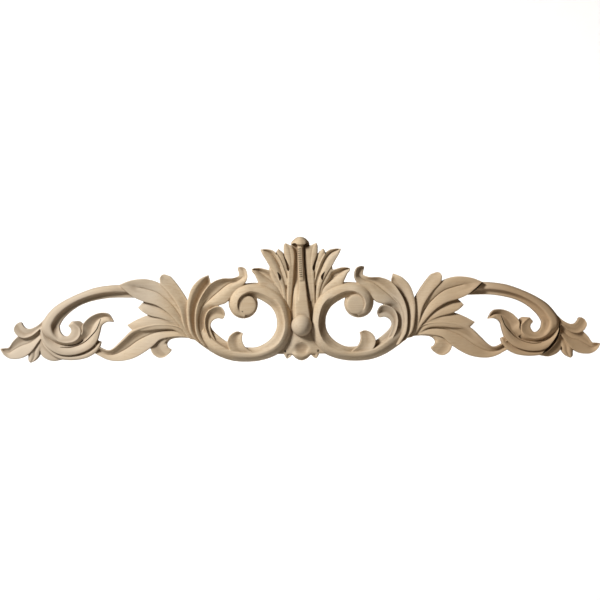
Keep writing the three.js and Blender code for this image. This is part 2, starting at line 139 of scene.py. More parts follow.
# a leaf or band over ribs (first edge x, z, second edge x, z, lift); a closing rib (x, z, lift) is its tip
def carveForm(form):
    ribs = form["ribs"]
    tipped = len(ribs[-1]) == 3
    full = []
    for rib in ribs:
        full.append(rib if len(rib) == 5 else (rib[0], rib[1], rib[0], rib[1], rib[2]))
    full = np.array(full, float)
    spans = len(full) - 1
    firstEdge = full[:, [0, 1]]
    secondEdge = full[:, [2, 3]]
    stations = [0.0]
    for i in range(spans):
        reach = max(np.linalg.norm(firstEdge[i + 1] - firstEdge[i]),
                    np.linalg.norm(secondEdge[i + 1] - secondEdge[i]))
        pieces = max(3, math.ceil(reach / carvingFineness["rowStep"]))
        stations += [i + (j + 1) / pieces for j in range(pieces)]
    stations = np.array(stations)
    first = railPoints(firstEdge, stations)
    second = railPoints(secondEdge, stations)
    lifts = railPoints(full[:, [4]], stations)[:, 0]
    widths = np.linalg.norm(second - first, axis=1)
    sections = form["sections"]
    creases = {0.0, 1.0}
    for _, section in sections:
        creases.update(k[0] for k in section if len(k) == 3)
    creases = sorted(creases)
    shares = [0.0]
    for low, high in zip(creases[:-1], creases[1:]):
        pieces = max(2, math.ceil((high - low) * widths.max() / carvingFineness["columnStep"]))
        shares += [low + (high - low) * (j + 1) / pieces for j in range(pieces)]
    shares = np.array(shares)
    rim = form.get("rim", carvingFineness["rim"])
    # columns gather towards both edges so that the rounded rims are drawn
    rimSteps = np.array(carvingFineness["rimSteps"])
    veinSteps = np.array(carvingFineness["veinSteps"])
    veinFade = carvingFineness["veinFade"]
    inner = shares[1:-1]
    veins = form.get("veins", [])
    columns = len(inner) + 2 * len(rimSteps) + len(veinSteps) * len(veins)
    grid = np.linspace(0, 1, carvingFineness["profileSteps"])
    starts = [station for station, _ in sections]
    profiles = [sectionHeights(section, grid) for _, section in sections]
    wide = columns + 2
    points = np.zeros((len(stations) * wide, 3))
    for row, station in enumerate(stations):
        width = max(widths[row], 1e-6)
        edge = min(rim / width, carvingFineness["widestRim"])
        middle = np.clip(inner, edge * 1.02, 1 - edge * 1.02)
        spots = [rimSteps * edge, middle, 1 - rimSteps * edge]
        for vein in veins:
            reach = vein["half"] / width
            spots.append(np.clip(vein["share"] + reach * veinSteps, 0.02, 0.98))
        spots = np.sort(np.concatenate(spots))
        heights = np.interp(spots, grid, profiles[0])
        for i in range(len(sections) - 1):
            if station > starts[i]:
                change = smoothStep(starts[i], starts[i + 1], station)
                before = np.interp(spots, grid, profiles[i])
                after = np.interp(spots, grid, profiles[i + 1])
                heights = before * (1 - change) + after * change
        closing = smoothStep(spans - 1, spans, station) if tipped else 0.0
        heights = heights * (1 - closing) + heights.mean() * closing
        away = np.minimum(spots, 1 - spots) * width
        curl = 1 - np.sqrt(np.clip(1 - np.clip(1 - away / rim, 0, 1) ** 2, 0, 1))
        heights = heights * lifts[row] - curl * rim
        for vein in veins:
            fade = smoothStep(vein["from"], vein["from"] + veinFade, station)
            fade *= 1 - smoothStep(vein["to"] - veinFade, vein["to"], station)
            near = 1 - np.abs(spots - vein["share"]) * width / vein["half"]
            heights -= fade * vein["depth"] * np.clip(near, 0, 1)
        here = row * wide
        points[here:here + columns, 0] = first[row, 0] + (second[row, 0] - first[row, 0]) * spots
        points[here:here + columns, 1] = -heights
        points[here:here + columns, 2] = first[row, 1] + (second[row, 1] - first[row, 1]) * spots
        points[here + columns] = (first[row, 0], carvingFineness["sunkBack"], first[row, 1])
        points[here + columns + 1] = (second[row, 0], carvingFineness["sunkBack"], second[row, 1])
    faces = []
    ring = list(range(columns)) + [columns + 1, columns]
    for row in range(len(stations) - 1):
        here = row * wide
        for a, b in zip(ring, ring[1:] + ring[:1]):
            faces.append((here + a, here + b, here + wide + b))
            faces.append((here + a, here + wide + b, here + wide + a))
    for start, flipped in ((0, False), ((len(stations) - 1) * wide, True)):
        for a, b in zip(ring[:-1], ring[1:]):
            cap = (start + columns, start + b, start + a)
            faces.append(cap[::-1] if flipped else cap)
    return outward(points, np.array(faces))


# a cut that goes in from the front down to a floor, over (x, z, half width) along its middle
def nickForm(form):
    spots = np.array(form["path"], float)
    steps = (len(spots) - 1) * carvingFineness["cutSteps"]
    stations = np.linspace(0, len(spots) - 1, steps + 1)
    line = railPoints(spots, stations)
    run = np.gradient(line[:, :2], axis=0)
    run /= np.linalg.norm(run, axis=1)[:, None]
    half = np.maximum(line[:, 2:3], carvingFineness["thinnestCut"])
    side = np.stack([-run[:, 1], run[:, 0]], axis=1) * half
    left = line[:, :2] + side
    right = line[:, :2] - side
    front = carvingFineness["cutterFront"]
    floor = form["floor"]
    points = []
    for row in range(len(stations)):
        rim = ((left[row], front), (right[row], front), (right[row], floor), (left[row], floor))
        for (x, z), height in rim:
            points.append((x, -height, z))
    faces = []
    for row in range(len(stations) - 1):
        for a in range(4):
            b = (a + 1) % 4
            faces.append((row * 4 + a, row * 4 + b, row * 4 + 4 + b))
            faces.append((row * 4 + a, row * 4 + 4 + b, row * 4 + 4 + a))
    last = (len(stations) - 1) * 4
    faces += [(0, 2, 1), (0, 3, 2), (last, last + 1, last + 2), (last, last + 2, last + 3)]
    return outward(np.array(points), np.array(faces))


# a turned form about an axis through the board, its profile rows being (radius, height)
def turnForm(form):
    segments = carvingFineness["turnedSteps"]
    rows = []
    profile = form["profile"] + [(form["profile"][-1][0], -carvingFineness["sunkBack"])]
    for radius, height in profile[1:]:
        angles = np.linspace(0, 2 * math.pi, segments, endpoint=False)
        x = form["centre"][0] + radius * np.cos(angles)
        z = form["centre"][1] + radius * np.sin(angles) * form.get("stretch", 1.0)
        rows.append(np.stack([x, np.full(segments, -height), z], axis=1))
    top = np.array([[form["centre"][0], -profile[0][1], form["centre"][1]]])
    bottom = np.array([[form["centre"][0], carvingFineness["sunkBack"], form["centre"][1]]])
    points = np.vstack(rows + [top, bottom])
    topSpot = len(rows) * segments
    faces = []
    for j in range(segments):
        after = (j + 1) % segments
        faces.append((topSpot, j, after))
        for i in range(len(rows) - 1):
            a = i * segments + j
            b = i * segments + after
            faces.append((a, a + segments, b + segments))
            faces.append((a, b + segments, b))
        low = (len(rows) - 1) * segments
        faces.append((topSpot + 1, low + after, low + j))
    return outward(points, np.array(faces))


# sections that several forms share
ringRibbon = [(0, 2.5), (0.08, 6), (0.22, 10), (0.4, 12.2), (0.55, 12.5), (0.63, 11.6),
              (0.69, 8), (0.76, 7), (1, 6.6)]
ringRoll = [(0, 3), (0.08, 6.6), (0.22, 10.8), (0.36, 13), (0.5, 13.6), (0.64, 12.2), (0.82, 9.8), (1, 8)]
ringCove = [(0, 5), (0.08, 9), (0.25, 13.4), (0.5, 15.6, 1), (0.68, 12), (0.86, 9.6), (1, 8.2)]
ringTop = [(0, 5), (0.08, 9), (0.25, 13.2), (0.62, 15, 1), (0.8, 11.8), (1, 9.8)]
voluteBand = [(0, 7.5), (0.08, 10.5), (0.3, 14.2), (0.62, 16, 1), (0.76, 11.4), (1, 10)]
voluteEnd = [(0, 7.5), (0.1, 11), (0.3, 13.6), (0.6, 14.2), (1, 14)]
stemRoll = [(0, 7.5), (0.08, 10.8), (0.25, 12.6), (0.46, 13), (0.56, 12.4, 1),
            (0.66, 8.8), (0.8, 7.6), (1, 8)]
curlRoll = [(0, 3), (0.1, 5), (0.25, 8.8), (0.42, 13, 1), (0.6, 12), (1, 11.2)]

# the C-scroll from under the leaves, round the bottom and the top, into the volute
cScroll = {
    "sections": [
        (0, ringRibbon), (4, ringRibbon), (5.5, ringRoll), (7.5, ringCove), (10, ringCove),
        (11.2, ringTop), (12.4, ringTop), (13.4, voluteBand), (16, voluteBand), (17.6, voluteEnd),
    ],
    "ribs": [
        (106, -14.5, 92, 4, 0.72), (97, -21.5, 88.5, -4, 0.85), (84.3, -29.6, 80, -12, 1),
        (70, -34.9, 68, -19.5, 1), (55, -36.3, 54, -21.8, 1), (39.7, -34.9, 44, -21.4, 1),
        (24.7, -29.5, 35, -17, 1), (14.7, -20.3, 28.5, -10.8, 1), (9.7, -7, 24.7, -2.5, 1),
        (9.6, 6, 24.8, 8, 1), (14, 23.5, 29, 17, 1), (25, 35.2, 36, 23, 1), (39, 41.8, 44, 27.2, 1),
        (53, 42.4, 49.5, 28.5, 1.03), (64, 38.5, 54, 26.5, 1.06), (71.2, 29.5, 57, 24.5, 1.07),
        (72, 19, 58.6, 20.6, 1.02), (66.5, 10.4, 58.3, 16.5, 0.95), (57, 6.8, 54.6, 14.1, 0.95),
    ],
}
voluteGround = {"centre": (57.6, 21.4), "profile": [(0, 9.5), (13, 9.5), (14.4, 8.6)]}
voluteEye = {"centre": (54.3, 20), "profile": [(0, 14.3), (7, 14.2), (8.8, 13.9), (9.6, 13.2), (9.9, 12)]}

# curls that end inside the C-scroll
lowCurl = {
    "sections": [(0, [(0, 11), (0.42, 9.8), (0.8, 11.4), (1, 12.5)])],
    "ribs": [
        (46, -29, 66, -30, 0.9), (55.5, -22, 72, -23, 1), (58.8, -16.5, 74, -16, 1),
        (59.2, -11.5, 71, -9.4, 1), (58.6, -8.8, 64.5, -5.8, 1), (58.3, -7.6, 1),
    ],
}
sideCurl = {
    "sections": [(0, [(0, 13.2), (0.25, 10.8), (0.55, 9.3), (1, 9.6)])],
    "ribs": [
        (91, -14, 84, -17.5, 0.9), (95, -4.5, 89.8, -6, 1), (96.3, 5, 90.3, 1.5, 1),
        (93.5, 14, 88, 5.3, 1),
        (87, 18.6, 83.5, 7.4, 1), (80.5, 19, 80, 7, 1), (77, 15, 77.8, 7.2, 1), (76, 11, 1),
    ],
}

# the leaf that sweeps over the volute to a hook, and the blades that fan out beside it
hookStart = [(0, 7.5), (0.25, 8), (0.5, 9.4), (0.78, 12.4), (1, 13.6)]
hookFold = [(0, 12), (0.25, 12.6), (0.46, 11.3), (0.54, 10, 1), (0.68, 10.4), (0.85, 12.4), (1, 15)]
hookLeaf = {
    "sections": [
        (0, hookStart),
        (2.6, hookStart),
        (4.2, hookFold),
        (6.5, hookFold),
        (8.2, [(0, 14.2), (0.22, 12.6), (0.5, 10.6), (1, 10.4)]),
    ],
    "veins": [
        {"share": 0.54, "depth": 1, "half": 0.7, "from": 3, "to": 8.2},
        {"share": 0.62, "depth": 1.2, "half": 0.8, "from": 0.2, "to": 4.2},
    ],
    "ribs": [
        (88, -23, 98, -19.5, 0.75), (94, -7, 104.5, -8, 0.95), (96.3, 5, 106, 6, 1),
        (91, 17, 104.3, 19, 1),
        (82, 20.3, 98.5, 31.5, 1), (74, 23.5, 90, 42.3, 1), (66, 34, 79, 47, 1), (57, 41, 69, 47.3, 1.03),
        (53.4, 48, 62.3, 49.6, 1.08), (54.8, 55.8, 62.2, 53.5, 1.1), (59, 58.4, 63, 55.8, 1.1),
        (63, 58, 1.05),
    ],
}
leanBlade = {
    "sections": [(0, [(0, 8.6), (0.12, 7.2), (0.3, 7.8), (0.55, 10.4), (0.82, 12.7), (1, 12.8)])],
    "ribs": [
        (96, -19, 104, -16, 0.7), (101.5, -8, 111, -6.5, 0.9), (104, 6, 113.7, 9, 1),
        (102, 18, 113.4, 23.5, 1),
        (96, 30.5, 109, 37.8, 1), (90.6, 42, 101, 46.7, 1), (92.3, 50.8, 0.95),
    ],
}
tallBlade = {
    "sections": [
        (0, [(0, 11), (0.15, 9.8), (0.38, 8.6), (0.62, 9.8), (0.88, 11.3), (1, 11.4)]),
        (2.6, [(0, 9.6), (0.15, 9.8), (0.35, 10.5), (0.6, 11.6), (0.88, 12.5), (1, 12.6)]),
    ],
    "ribs": [
        (103, -14.5, 111, -13, 0.6), (109.5, 2, 117, -1, 0.8), (112, 22, 121.5, 17, 1),
        (119.2, 35.8, 130, 31, 1), (128.8, 48.4, 139, 41, 1), (133, 50.8, 140.5, 44.8, 1),
        (136.4, 51.8, 140.7, 48, 1), (138.8, 51.1, 0.99),
    ],
}
lobeStart = [(0, 10.8), (0.2, 10.7), (0.44, 10.2, 1), (0.62, 11.6), (0.85, 12.8), (1, 13)]
broadLobe = {
    "sections": [
        (0, lobeStart),
        (2, lobeStart),
        (3.2, [(0, 10.6), (0.2, 11.6), (0.44, 10.8, 1), (0.62, 11.7), (0.85, 13), (1, 13.4)]),
        (4.8, [(0, 12.6), (0.25, 12.2), (0.44, 11, 1), (0.62, 11.7), (0.85, 13), (1, 13.4)]),
        (6.2, [(0, 12.8), (0.25, 12.6), (0.44, 12.4), (0.62, 12.5), (0.85, 13), (1, 13.4)]),
    ],
    "veins": [{"share": 0.44, "depth": 1.1, "half": 0.7, "from": 1, "to": 5}],
    "ribs": [
        (106, -12.5, 113, -12, 0.58), (113.5, 7, 122, 1.5, 0.82), (123.5, 26, 133, 13.5, 0.98),
        (138.5, 41.2, 144.5, 21, 1), (151, 46.6, 157, 24.8, 1), (162, 47.1, 167, 29.4, 1.05),
        (172, 45.2, 174, 35.2, 1.1), (181, 41.4, 1.15),
    ],
}
midLobe = {
    "sections": [(0, [(0, 8.8), (0.14, 8.9), (0.45, 10.2), (0.8, 12), (1, 12.2)])],
    "ribs": [
        (111, -9, 117, -10, 0.55), (119, 9, 125, 0.5, 0.75), (132, 20, 137, 7, 0.95),
        (147, 26.5, 150.5, 10.6, 1),
        (156.5, 24.6, 157.5, 14.3, 1), (162.6, 18.7, 1),
    ],
}
lowLobe = {
    "sections": [(0, [(0, 8.8), (0.12, 9.2), (0.45, 11), (0.8, 11.6), (1, 11)])],
    "ribs": [
        (112, -10, 116, -11.5, 0.55), (123, 5, 127, -4, 0.8), (136, 12.5, 140, -3, 0.95),
        (151, 11.6, 154, -4.2, 1), (163, 7.3, 166.5, -4.2, 1), (173.6, 1.5, 0.95),
    ],
}
longLeaf = {
    "sections": [
        (0, [(0, 11.4), (0.07, 12.3), (0.2, 9.9), (0.34, 8.2), (0.47, 7.6, 1), (0.7, 9.4), (1, 10.8)]),
    ],
    "veins": [{"share": 0.47, "depth": 0.8, "half": 0.7, "from": 1, "to": 7.5}],
    "ribs": [
        (108, -9, 110, -12, 0.55), (124, 0.5, 124, -10.5, 0.8), (142, 2.5, 140, -13, 0.95),
        (157, 0.5, 148, -19.5, 1), (168.7, -3.6, 157.5, -26.3, 1), (178.2, -12.3, 169, -32.1, 1),
        (186.2, -20.1, 182, -34.3, 0.9), (192.5, -23.2, 193, -32.9, 0.85),
        (200, -20.6, 203.5, -27.7, 0.8),
        (207, -15, 212, -22, 0.75),
    ],
}
curlStart = [(0, 6), (0.2, 6.4), (0.5, 8), (0.75, 7.8), (1, 4.5)]
underCurl = {
    "sections": [
        (0, curlStart),
        (3, curlStart),
        (4.4, [(0, 9.8), (0.5, 7.6), (1, 8.2)]),
    ],
    "ribs": [
        (107, -9, 108, -12.4, 0.6), (122, -7.5, 121, -11.7, 0.8), (134.5, -8.5, 129.5, -12.9, 0.95),
        (144.5, -12.5, 133.2, -16, 1), (150.5, -18.5, 133.8, -18.6, 1), (150.4, -22.5, 132.8, -21.3, 1),
        (148, -27.6, 130.3, -22.8, 1), (142.6, -31.2, 129.8, -24.2, 1), (137, -30.8, 130.6, -25.6, 1),
        (132.4, -27.6, 0.97),
    ],
}

# the outer scroll: its stem comes out from under the broad lobe and turns in to a flat curl
outerScroll = {
    "sections": [(0, stemRoll), (8, stemRoll), (10.5, curlRoll)],
    "ribs": [
        (158, 40, 156, 28.4, 0.5), (174, 41.5, 173, 28.8, 0.62), (190, 41.2, 189, 28.8, 0.9),
        (206, 38.7, 203.5, 26.8, 1), (222, 33, 217, 22.9, 1), (236, 26.3, 228, 16.6, 1),
        (247.5, 18.4, 236.5, 8.6, 1), (256, 8, 240.5, 2, 1), (258.5, 0, 240.7, -0.5, 1),
        (255.5, -9, 239.8, -4.5, 1), (248, -16.3, 237.5, -7.7, 1), (238, -19.8, 234.8, -9, 1),
        (227, -19.9, 232, -8.6, 1), (218.5, -16.8, 230, -6.3, 1), (213.5, -10, 229, -4, 1),
        (213, -2, 229.4, -1.5, 1), (217.5, 3, 231, 0.5, 1), (221.5, 6, 231.7, 1.5, 1), (228.5, 5.7, 1),
    ],
}
sLeafLow = {
    "sections": [(0, [(0, 9.2), (0.15, 9.4), (0.4, 10.8), (0.7, 11.8), (1, 11.8)])],
    "veins": [{"share": 0.08, "depth": 0.9, "half": 0.8, "from": 0.5, "to": 10}],
    "ribs": [
        (257.5, 2, 259.6, -2, 0.8), (253.5, -8.5, 257, -13.2, 0.95), (246.5, -15, 250.5, -21.7, 1),
        (237.8, -18.2, 239.5, -27.3, 1), (227.5, -18.4, 226, -27.5, 1), (219.3, -15.6, 213, -23.2, 1),
        (213, -8.2, 204.3, -15.6, 1), (209, 0.8, 200.7, -6, 1), (204.5, 6.8, 198.8, 1, 1),
        (199.5, 10, 194.5, 4.4, 1.02), (193.4, 10.6, 190.5, 5, 1.05), (186.8, 4.7, 1.05),
    ],
}
sLeafHigh = {
    "sections": [(0, [(0, 13.6), (0.25, 11.4), (0.6, 9.5), (1, 8.8)])],
    "ribs": [
        (220, -11, 214, -15.5, 0.8), (217.8, -4, 208.5, -9, 1), (217.6, 2, 205, -1.5, 1),
        (212.2, 8.5, 201, 3, 1), (205.5, 12.5, 197, 6.3, 1.02), (198.5, 14.2, 193.4, 7.8, 1.05),
        (191.3, 12.5, 189.5, 6.8, 1.07), (186.7, 5.2, 1.07),
    ],
}
scrollLobe = {
    "sections": [(0, [(0, 5.5), (0.3, 6.8), (0.5, 8.8), (0.75, 9.9), (1, 9.6)])],
    "ribs": [
        (257.8, -2, 260, -5, 0.8), (254.5, -12.5, 258, -15, 0.9), (248, -19.5, 253.2, -22.7, 1),
        (238.8, -24.5, 243.5, -30.3, 1), (228, -25, 231, -32.9, 1), (217.5, -22, 216.3, -31.5, 1),
        (209.5, -17, 205.8, -26.2, 1), (204.5, -13.5, 200.8, -20, 1), (199.3, -14.8, 1),
    ],
}
footLobe = {
    "sections": [(0, [(0, 5.4), (0.4, 7), (1, 6)])],
    "ribs": [
        (255.5, 3, 261.2, 1.5, 0.8), (252.5, -10, 261.2, -12, 1), (247.5, -20, 260.4, -24.5, 1),
        (240.5, -27, 256.2, -30.4, 1), (236, -30.5, 247.5, -33.7, 1), (237.8, -32.3, 0.9),
    ],
}

# the leaf at the end of the onlay
endCurl = {
    "sections": [(0, [(0, 8.8), (0.5, 8), (0.8, 8.8), (1, 9.8)])],
    "ribs": [
        (253, 11.5, 255, 3, 0.8), (260.5, 3.5, 262.5, -4, 1), (268, -0.8, 269, -8.8, 1),
        (273.5, -1, 276, -10.6, 1), (276.6, 1.8, 281.7, -8.6, 1), (278, 4.6, 285.2, -4.5, 1),
        (280.2, 5.3, 285.9, -1, 1), (283.8, 3.4, 1),
    ],
}
endLeaf = {
    "sections": [(0, [(0, 8.2), (0.12, 7), (0.35, 5.8), (0.47, 5.8, 1), (0.7, 7.8), (1, 9.4)])],
    "veins": [{"share": 0.47, "depth": 0.6, "half": 0.7, "from": 0.5, "to": 6.5}],
    "ribs": [
        (253, 7, 256, -7, 0.75), (260.5, -0.5, 262, -15, 0.9), (269.7, -6, 269, -24.3, 1),
        (280, -7.6, 277, -29.8, 1), (286.7, -13.2, 284.5, -31.3, 1), (291.2, -19.6, 291, -30.4, 1),
        (295.5, -20.3, 296.2, -26.7, 1.05), (300, -20.9, 1.1),
    ],
}
endLobe = {
    "sections": [(0, [(0, 6), (0.25, 7.2), (0.46, 6.6, 1), (0.7, 7.6), (1, 6.2)])],
    "ribs": [
        (257, -14, 266, -14, 0.8), (259.6, -23, 271.6, -22, 1), (260.8, -28.3, 272.1, -29.5, 1),
        (264.6, -32.7, 271.8, -33.3, 1), (269.7, -35.2, 1),
    ],
}

# the fan of leaves beside the husk
fanTall = {
    "sections": [(0, [(0, 10), (0.15, 10.8), (0.4, 11.1), (0.7, 11.5), (0.9, 11.3), (1, 10)])],
    "veins": [{"share": 0.42, "depth": 0.35, "half": 0.8, "from": 2.5, "to": 6.5}],
    "ribs": [
        (10.6, 14, 14, 18, 0.7), (9.3, 28, 14, 30, 0.85), (7.4, 46, 13.6, 47, 0.95),
        (6.4, 60, 13.6, 61, 1),
        (6, 70, 16.4, 70, 1), (8, 78, 17, 76.5, 1.03), (12, 80.4, 16.6, 80, 1.03), (15.6, 82, 1.03),
    ],
}
fanSmall = {
    "sections": [(0, [(0, 9), (0.3, 10.4), (0.6, 10.8), (1, 9.6)])],
    "ribs": [
        (11, 40, 17, 40, 0.8), (12, 55, 20, 56, 0.95), (15, 66, 23, 67, 1), (18, 72.5, 24.4, 71.6, 1),
        (20.4, 74.6, 24.2, 73.6, 1), (22.4, 76.4, 1),
    ],
}
fanBroad = {
    "sections": [(0, [(0, 12), (0.1, 11.6), (0.28, 7.6, 1), (0.42, 10.2), (0.7, 11.9), (1, 11.9)])],
    "veins": [{"share": 0.28, "depth": 0.6, "half": 0.7, "from": 0.5, "to": 4.6}],
    "ribs": [
        (11, 24, 17, 23, 0.7), (13, 42, 20, 39, 0.85), (16.6, 56, 26, 51, 0.95),
        (22, 68.5, 31.6, 59.5, 1),
        (27.5, 74.4, 34.4, 64.6, 1.02), (34, 76, 38, 70.5, 1.05), (40.3, 75.8, 1.05),
    ],
}
fanInset = {
    "sections": [(0, [(0, 8.2), (0.35, 10.2), (0.7, 10.8), (1, 9)])],
    "ribs": [
        (14, 30, 20, 28, 0.75), (17, 42, 24, 38, 0.85), (21.5, 52, 29, 46, 0.95), (26, 58.6, 31.6, 53, 1),
        (31, 60.4, 1),
    ],
}
fanLow = {
    "sections": [
        (0, [(0, 11.2), (0.1, 10.6), (0.3, 7.2), (0.44, 7.4, 1), (0.62, 10.6), (0.85, 11.6), (1, 11)]),
    ],
    "veins": [{"share": 0.44, "depth": 0.5, "half": 0.7, "from": 0.5, "to": 4.6}],
    "ribs": [
        (13, 27, 19, 25, 0.65), (18.5, 41.5, 28, 34, 0.85), (27, 52.5, 40, 39, 0.95),
        (35, 55.9, 43.8, 45.6, 1), (41, 57.3, 46.2, 50.8, 1.04), (45.5, 57.2, 48.5, 53.4, 1.05),
        (49.2, 56.4, 1.05),
    ],
}

# small leaf at the foot
footLeaf = {
    "sections": [(0, [(0, 7.4), (0.4, 6.4, 1), (0.75, 7.6), (1, 7)])],
    "ribs": [
        (9.4, -24, 16, -24, 1), (9.6, -29.2, 17.2, -27.6, 1), (11.6, -32, 16.9, -30.4, 1),
        (14.8, -33.6, 0.95),
    ],
}


def across(half, z, lift):
    return (-half, z, half, z, lift)


# on the centre line: husk with its notched strip, sunk ground, cap, boss, and the scoop with its lip
ground = {
    "sections": [(0, [(0, 6.2), (1, 6.2)])],
    "ribs": [
        across(7, 83, 1), across(9, 79, 1), across(9, 45, 1), across(11.5, 25, 1), across(12, 6, 1),
        across(12, -10, 1),
    ],
}
huskTop = [(0, 6), (0.12, 6.1), (0.37, 7, 1), (0.42, 13.2, 1), (0.7, 13.8), (0.95, 13.7), (1, 13)]
husk = {
    "sections": [
        (0, huskTop),
        (2, huskTop),
        (3.4, [(0, 6), (0.08, 10), (0.15, 13), (0.22, 13.8), (0.55, 14.2), (0.93, 14), (1, 12.5)]),
    ],
    "ribs": [
        (-7.2, 80, 2.5, 80, 0.94), (-7.1, 64, 2.7, 64, 0.95), (-7.4, 47, 4, 47, 0.96),
        (-8.6, 28, 6.2, 28, 0.97),
        (-8.8, 14, 8, 14, 0.98), (-9.2, 3, 9.2, 3, 0.98),
    ],
}
stripBand = {
    "sections": [(0, [(0, 14.5), (0.5, 14.9), (1, 14.5)])],
    "rim": 0.3,
    "ribs": [
        (-3.3, 78, 1, 78, 1), (-2.7, 62, 1.7, 62, 1), (-2.1, 47, 2.4, 47, 0.98),
        (-1.8, 44, 2.6, 44, 0.93),
    ],
}
fanStrip = {
    "sections": [(0, [(0, 10), (0.3, 10.9), (1, 11.1)])],
    "ribs": [
        (8.8, 24, 12, 24, 0.85), (6, 44, 10.5, 44, 0.95), (4.5, 60, 10, 60, 1), (4.2, 71, 10.5, 71, 1),
        (4.8, 77.8, 10.6, 79, 1.02),
    ],
}
notches = {
    "count": 14, "low": 48.2, "pitch": 2.12, "half": 0.4, "floor": 12.6, "foot": -0.2, "top": -1.6,
    "reach": 1.6, "slope": 0.25,
}
cap = {
    "sections": [(0, [(0, 8), (0.1, 12.2), (0.25, 15.4), (0.5, 16.8), (0.75, 15.4), (0.9, 12.2), (1, 8)])],
    "ribs": [
        (-9.2, 80, 8.6, 80, 1), (-9.6, 81.2, 8.8, 81.2, 1), (-8.9, 83.2, 8.1, 83.2, 0.97),
        (-7.3, 85, 6.5, 85, 0.9), (-5.2, 86.8, 4.4, 86.8, 0.8), (-3.2, 87.8, 2.4, 87.8, 0.7),
        (-0.4, 88.2, 0.6),
    ],
}
capDrip = {
    "sections": [(0, [(0, 13), (0.3, 15), (0.7, 15), (1, 13)])],
    "ribs": [(-3.6, 81.5, 2.4, 81.5, 1), (-3.1, 79.8, 1.8, 79.8, 1), (-0.6, 78.4, 1)],
}
boss = {"centre": (0, -0.4), "radius": 10.2, "peak": 22.0, "stretch": 1.05, "steps": 24}
skirtFall = {
    "sections": [(0, [(0, 6.8), (0.18, 8.4), (0.5, 9.6), (0.82, 8.4), (1, 6.8)])],
    "ribs": [
        across(10, -5, 1.1), across(13.5, -13, 1.05), across(18, -20, 1), across(22.5, -26, 0.95),
        across(23.6, -28.8, 0.9),
    ],
}
lip = {
    "sections": [(0, [(0, 8), (0.25, 10), (0.55, 10.2), (0.85, 8), (1, 6)])],
    "ribs": [
        (-9.4, -26.6, -9.3, -29.8, 0.85), (-5, -25.8, -5.5, -33.4, 1), (0, -25.5, 0, -35.4, 1),
        (5, -25.8, 5.5, -33.4, 1), (9.4, -26.6, 9.3, -29.8, 0.85),
    ],
}

pairedForms = [
    cScroll, lowCurl, sideCurl, hookLeaf, leanBlade, tallBlade, broadLobe, midLobe, lowLobe, longLeaf,
    underCurl, outerScroll, sLeafLow, sLeafHigh, scrollLobe, footLobe, endCurl, endLeaf, endLobe,
    fanTall, fanSmall, fanBroad, fanInset, fanLow, footLeaf,
]
pairedShells = [carveForm(form) for form in pairedForms]
pairedShells += [turnForm(voluteGround), turnForm(voluteEye)]
centreForms = [ground, husk, stripBand, fanStrip, cap, capDrip, skirtFall, lip]
centreShells = [carveForm(form) for form in centreForms]

bossProfile = []
for i in range(boss["steps"] + 1):
    angle = i * math.pi / (2 * boss["steps"])
    drop = boss["radius"] * (1 - math.cos(angle))
    bossProfile.append((boss["radius"] * math.sin(angle), boss["peak"] - drop))
turnedBoss = {"centre": boss["centre"], "profile": bossProfile, "stretch": boss["stretch"]}
centreShells.append(turnForm(turnedBoss))

# small piercings and deep cracks between leaves
nicks = [
    {"floor": 7.4, "path": [
        (17.4, 71.8, 0.4), (16.2, 67, 0.6), (14.2, 62, 1), (13, 58.4, 1.4), (12.7, 55.8, 1.3),
        (12.8, 54, 0.4),
    ]},
    {"floor": 7, "path": [(23.6, 53, 0.3), (22, 50.4, 1), (21, 47.4, 1.3), (21.2, 44.6, 0.4)]},
    {"floor": 3.5, "path": [(24.1, 74, 0.3), (24.6, 72.4, 0.8), (24, 70.4, 0.3)]},
    {"floor": 3, "path": [(16.4, -24.4, 0.3), (16.4, -25.8, 0.9), (16.1, -27.2, 0.3)]},
    {"floor": 3, "path": [(260.2, -23.4, 0.3), (260.4, -25.8, 0.8), (260.2, -28.6, 0.5)]},
    {"floor": 8.2, "path": [(199.5, 8, 0.25), (201.2, 3, 0.45), (203.6, -2.4, 0.5), (208.3, -8, 0.55),
                            (214.6, -14, 0.55), (221, -17.6, 0.55), (230.4, -20.2, 0.5),
                            (240, -19.8, 0.3)]},
]
nickShells = [nickForm(form) for form in nicks]
nickShells += [mirrored(shell) for shell in nickShells]

# the right half is undercut deeper than the left
deepNicks = [
    {"floor": 4, "path": [(182, 41.4, 0.3), (177.5, 37, 0.7), (172.5, 32.8, 0.8), (167.5, 29, 0.5)]},
    {"floor": 2.6, "path": [(258.2, 1, 0.3), (258.2, -6, 0.8), (256.6, -12, 1.2), (253.8, -17.2, 1.4),
                            (249.3, -23, 1.4), (244.5, -27.8, 1.1), (240.8, -30.8, 0.4)]},
]
nickShells += [nickForm(form) for form in deepNicks]

# a pin knot in the left volute
pinKnot = {"floor": 12.6, "path": [(-59.4, 14.3, 0.3), (-58.7, 13.9, 0.5), (-58, 13.6, 0.3)]}
nickShells.append(nickForm(pinKnot))
capHollows = [
    {"floor": 7, "path": [(-8.7, 80.4, 0.5), (-7, 80.8, 0.9), (-5.4, 80.5, 0.9), (-4.2, 79.7, 0.4)]},
    {"floor": 7, "path": [(7.4, 81.2, 0.4), (6, 80.5, 1.1), (4.6, 79.7, 1.2), (3.2, 78.8, 0.5)]},
]
nickShells += [nickForm(form) for form in capHollows]
for i in range(notches["count"]):
    z = notches["low"] + i * notches["pitch"]
    middle = notches["foot"] + (notches["top"] - notches["foot"]) * i / (notches["count"] - 1)
    cut = [
        (middle + side * notches["reach"], z + side * notches["slope"], notches["half"])
        for side in (-1, 0, 1)
    ]
    nickShells.append(nickForm({"floor": notches["floor"], "path": cut}))

# the scoop under the boss is hollowed with a round gouge
gougeScoop = {
    "centre": (0.2, -23), "reach": (9.6, 6), "deep": 2.7, "surface": 9.7, "rings": 14, "spokes": 40,
}


